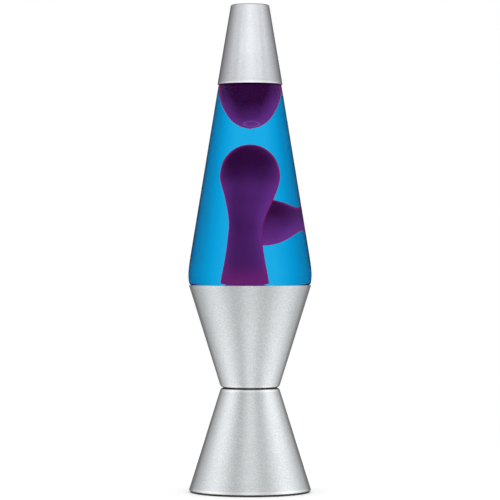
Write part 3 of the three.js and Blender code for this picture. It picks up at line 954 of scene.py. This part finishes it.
def threaded(start, end, depth):
    """Gives a plain wall a rolled helical thread between two heights."""
    def radius_at(radius, height, angle):
        share = smooth_step(height, start, start + 1) * (1 - smooth_step(height, end - 1, end))
        phase = 2 * math.pi * (height - start) / THREAD_PITCH - angle
        return radius + depth * share * (0.5 * math.cos(phase) - 0.5)
    return radius_at


def threaded_shell(name, line, start, end, depth):
    return revolve(name, wall_of(line, SHELL_SHEET), segments=64, radius_at=threaded(start, end, depth))


def wall_line(radius, low, high):
    return dense([(radius, low), (radius, high)], longest=0.35)


socket_line = wall_line(9.05, 68.5, 84.01)
socket_shell = threaded_shell("socket_shell_look", socket_line, start=68.5, end=83, depth=0.25)
stand_for("socket_shell", socket_shell, BRASS)

bulb_line = [(5.95, 69.2), (6.6, 69.2), *wall_line(8.25, 70.4, 85.91)]
bulb_shell = threaded_shell("bulb_shell_look", bulb_line, start=71, end=84.6, depth=0.5)
stand_for("bulb_screw_shell", bulb_shell, BULB_METAL)

for contact in ("socket_centre_contact", "terminal_live", "terminal_neutral"):
    paint(contact, BRASS)
paint("lead_live", RED)
paint("lead_neutral", WHITE)
paint("crimp_live", CRIMP)
paint("crimp_neutral", CRIMP)


# ---- bulb ----

BULB_WALL = 0.7
FILAMENT_TURNS = 40
FILAMENT_STEPS = 14
FILAMENT_HALF_LENGTH = 7
FILAMENT_WIND_RADIUS = 0.33
FILAMENT_TOP_Z = 111.2
FILAMENT_SAG = 2.3

envelope_line = draw(
    (7, 79),
    (7, 85),
    (7.4, 88.5, 13.6, 97, 15.9, 104),
    (18.45, 110.5, 18.85, 117.5, 12, 122.6),
    (9.4, 124.6, 5, 125.5, 0, 125.5),
)
envelope = [*reversed(envelope_line), *offset(envelope_line, BULB_WALL)]
bulb = revolve("bulb_glass_look", envelope, segments=96, longest=2)
stand_for("bulb_glass", bulb, BULB_GLASS)

filament_path = []
for i in range(FILAMENT_TURNS * FILAMENT_STEPS + 1):
    share = 2 * i / (FILAMENT_TURNS * FILAMENT_STEPS) - 1
    turn = math.pi * FILAMENT_TURNS * share
    across = FILAMENT_WIND_RADIUS * math.cos(turn)
    lift = FILAMENT_TOP_Z - FILAMENT_SAG * share * share + FILAMENT_WIND_RADIUS * math.sin(turn)
    filament_path.append((FILAMENT_HALF_LENGTH * share, across, lift))
filament = tube("bulb_filament_look", filament_path, radius=0.07, sides=6)
stand_for("bulb_filament", filament, TUNGSTEN)

paint("bulb_insulator", BLACK_GLASS)
paint("bulb_tip_contact", SOLDER)
paint("bulb_stem", BULB_GLASS)
paint("bulb_support_wire_a", WIRE_METAL)
paint("bulb_support_wire_b", WIRE_METAL)


# ---- foot ----

cover_outline = [
    (0, 1.3),
    (44.75, 1.3),
    (42.5, 8.5),
    (41.2, 8.5),
    (42.85, 2.9),
    (0, 2.9),
]
cover = revolve("bottom_cover_look", soften(cover_outline, 0.4), segments=128)
stand_for("bottom_cover", cover, COVER)

pad_outline = [(0, 0), (45.3, 0), (45.3, PAD_THICKNESS), (0, PAD_THICKNESS)]
pad = revolve("foot_pad_look", soften(pad_outline, 0.25), segments=128)
stand_for("foot_pad", pad, FOAM)


# ---- floor, light and camera ----

# Metres from here on, and degrees of azimuth from the front.
FLOOR_REACH = 0.6
FLOOR_SIDES = 96
FLOOR_GAP = 0.0002
CAMERA_LENS = 187.6
CAMERA_SENSOR = 36
CAMERA_RANGE = 50
CAMERA_PLACE = (0, -1.972, 0.1827)
LIGHT_DEPTH = 0.16
LIGHT_REACH = 0.42
LIGHT_Z = 0.6
LIGHT_AIM_Z = 0.34
# Grey levels of the tent. The bands are (azimuth, level) stops.
TENT_ON_PAPER = 1.32
TENT_IN_GLASS = 0.012
TENT_BANDS = (
    (-180, 0.2),
    (-144, 0.33),
    (-116, 0.68),
    (-97, 1.07),
    (-74, 1.27),
    (-54, 0.86),
    (-32, 0.45),
    (-8, 0.93),
    (8, 0.95),
    (33, 0.5),
    (54, 0.88),
    (74, 1.36),
    (97, 1.24),
    (116, 0.78),
    (144, 0.36),
    (180, 0.2),
)


def staged(name, data):
    """An object of the studio."""
    made = bpy.data.objects.new(name, data)
    bpy.context.scene.collection.objects.link(made)
    return made


def studio_floor():
    """A round sheet of white paper that takes the soft shadow under the foot. Metal and glass don't
    show it."""
    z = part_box("foot_pad")[0].z - FLOOR_GAP
    turns = [2 * math.pi * k / FLOOR_SIDES for k in range(FLOOR_SIDES)]
    rim = [(FLOOR_REACH * math.cos(a), FLOOR_REACH * math.sin(a), z) for a in turns]
    mesh = bpy.data.meshes.new("studio_floor")
    mesh.from_pydata(rim, [], [tuple(range(FLOOR_SIDES))])
    made = staged("studio_floor", mesh)
    look = Look("studio_paper")
    paper = {
        "Base Color": look.ramp(look.noise(40, detail=3), (0.3, 0.9), (0.7, 0.92)),
        "Roughness": 0.9,
        "Specular IOR Level": 0.1,
    }
    mesh.materials.append(look.done(paper))
    made.visible_glossy = False
    made.visible_transmission = False
    made.visible_shadow = False


def studio_world():
    """A white tent. Satin metal shows soft bands in it that follow the azimuth, the front being 0 degrees and
    the right side 90, and are a little dimmer low at the sides. Mirror reflections in glass are dark, and
    paper, refracted light and the background are white."""
    world = bpy.data.worlds.new("studio")
    bpy.context.scene.world = world
    tent = Nodes(world)
    way = tent.add("SeparateXYZ", {0: tent.add("TexCoord").outputs["Generated"]}).outputs
    azimuth = tent.math("ARCTAN2", way["X"], tent.math("MULTIPLY", way["Y"], -1.0))
    turn = tent.level(azimuth, 0, 1, start=-math.pi, end=math.pi)
    bands = tent.ramp(turn, *(((degrees + 180) / 360, value) for degrees, value in TENT_BANDS))

    low = tent.level(way["Z"], 0, 1, start=0.1, end=-0.3)
    left = tent.level(way["X"], 0, 0.25, start=-0.5, end=-0.85)
    right = tent.level(way["X"], 0, 0.34, start=0.5, end=0.85)
    sides = tent.math("SUBTRACT", tent.math("ADD", left, right), 0.1)
    dimmed = tent.math("MULTIPLY", low, sides)
    bands = tent.times(bands, tent.math("SUBTRACT", 1.0, dimmed))

    ray = tent.add("LightPath").outputs
    mirrored = tent.math("MULTIPLY", ray["Is Reflection Ray"], ray["Is Singular Ray"])
    colour = tent.mix(mirrored, bands, TENT_IN_GLASS)
    colour = tent.mix(ray["Is Transmission Ray"], colour, WHITE_LEVEL)
    colour = tent.mix(ray["Is Diffuse Ray"], colour, TENT_ON_PAPER)
    colour = tent.mix(ray["Is Camera Ray"], colour, WHITE_LEVEL)
    background = tent.add("Background", {"Color": colour, "Strength": 1.0})
    tent.add("OutputWorld", {"Surface": background.outputs[0]})


def cap_light(name, azimuth, width, energy):
    """A softbox above the lamp, at degrees of azimuth from the front, that lights the cap alone."""
    data = bpy.data.lights.new(name, "AREA")
    data.shape = "RECTANGLE"
    data.size = width
    data.size_y = LIGHT_DEPTH
    data.energy = energy
    made = staged(name, data)
    turn = math.radians(azimuth)
    made.location = (LIGHT_REACH * math.sin(turn), -LIGHT_REACH * math.cos(turn), LIGHT_Z)
    aim = Vector((0, 0, LIGHT_AIM_Z)) - made.location
    made.rotation_euler = aim.to_track_quat("-Z", "Y").to_euler()
    made.visible_camera = False
    lit = bpy.data.collections.new("lit_by_" + name)
    lit.objects.link(cap)
    made.light_linking.receiver_collection = lit


def camera():
    """The view of the lamp from the front, level with its middle."""
    data = bpy.data.cameras.new("camera")
    data.lens = CAMERA_LENS
    data.sensor_width = CAMERA_SENSOR
    data.clip_end = CAMERA_RANGE
    made = staged("camera", data)
    made.location = CAMERA_PLACE
    made.rotation_euler = (math.pi / 2, 0, 0)
    bpy.context.scene.camera = made


studio_floor()
studio_world()
cap_light("front_light", azimuth=0, width=0.95, energy=2.4)
cap_light("left_light", azimuth=-66, width=0.3, energy=0.17)
cap_light("right_light", azimuth=66, width=0.3, energy=0.22)
camera()
bpy.context.scene.view_settings.view_transform = "Standard"
bpy.context.scene.cycles.max_bounces = GLASS_CROSSINGS
bpy.context.scene.cycles.transmission_bounces = GLASS_CROSSINGS
